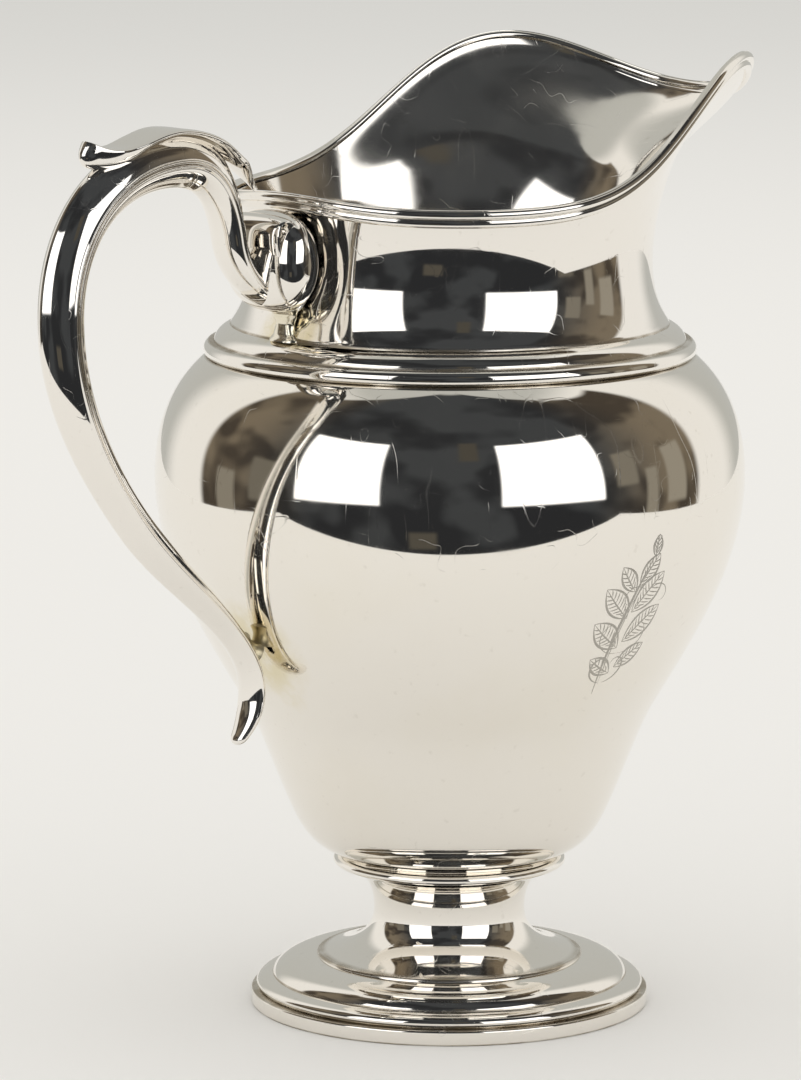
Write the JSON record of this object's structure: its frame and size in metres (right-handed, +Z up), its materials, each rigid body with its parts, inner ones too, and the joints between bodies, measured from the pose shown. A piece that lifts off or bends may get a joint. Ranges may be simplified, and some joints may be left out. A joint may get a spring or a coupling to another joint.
{
  "type": "water pitcher",
  "caption": "Silver baluster water pitcher with a helmet mouth and pouring lip, a hollow scroll handle with a thumb leaf, and a stepped pedestal foot.",
  "frame": {"origin": "centre of the foot's flat underside, on the table, on the axis of the round body", "axes": "+Z up along the axis of the body, +X from the axis towards the pouring lip, with the handle at -X"},
  "size_m": [0.2222, 0.152, 0.2468],
  "materials": {
    "polished_silver": "bright polished silver with fine wear scratches",
    "toned_silver": "polished silver slightly yellowed where the solder is"
  },
  "bodies": {
    "root": {"body_shell": "polished_silver", "neck_shell": "polished_silver", "shoulder_band": "polished_silver", "shoulder_step": "polished_silver", "rim_bead": "polished_silver", "rim_reed": "polished_silver", "foot_collar": "polished_silver", "foot_stem": "polished_silver", "stem_step": "polished_silver", "foot_dome": "polished_silver", "foot_border": "polished_silver", "foot_ring": "polished_silver", "handle_near_half": "polished_silver", "handle_far_half": "polished_silver", "handle_scroll": "polished_silver", "scroll_boss": "polished_silver", "thumb_leaf": "polished_silver", "handle_tail": "polished_silver", "upper_post": "toned_silver", "lower_pad": "toned_silver"}
  },
  "joints": []
}
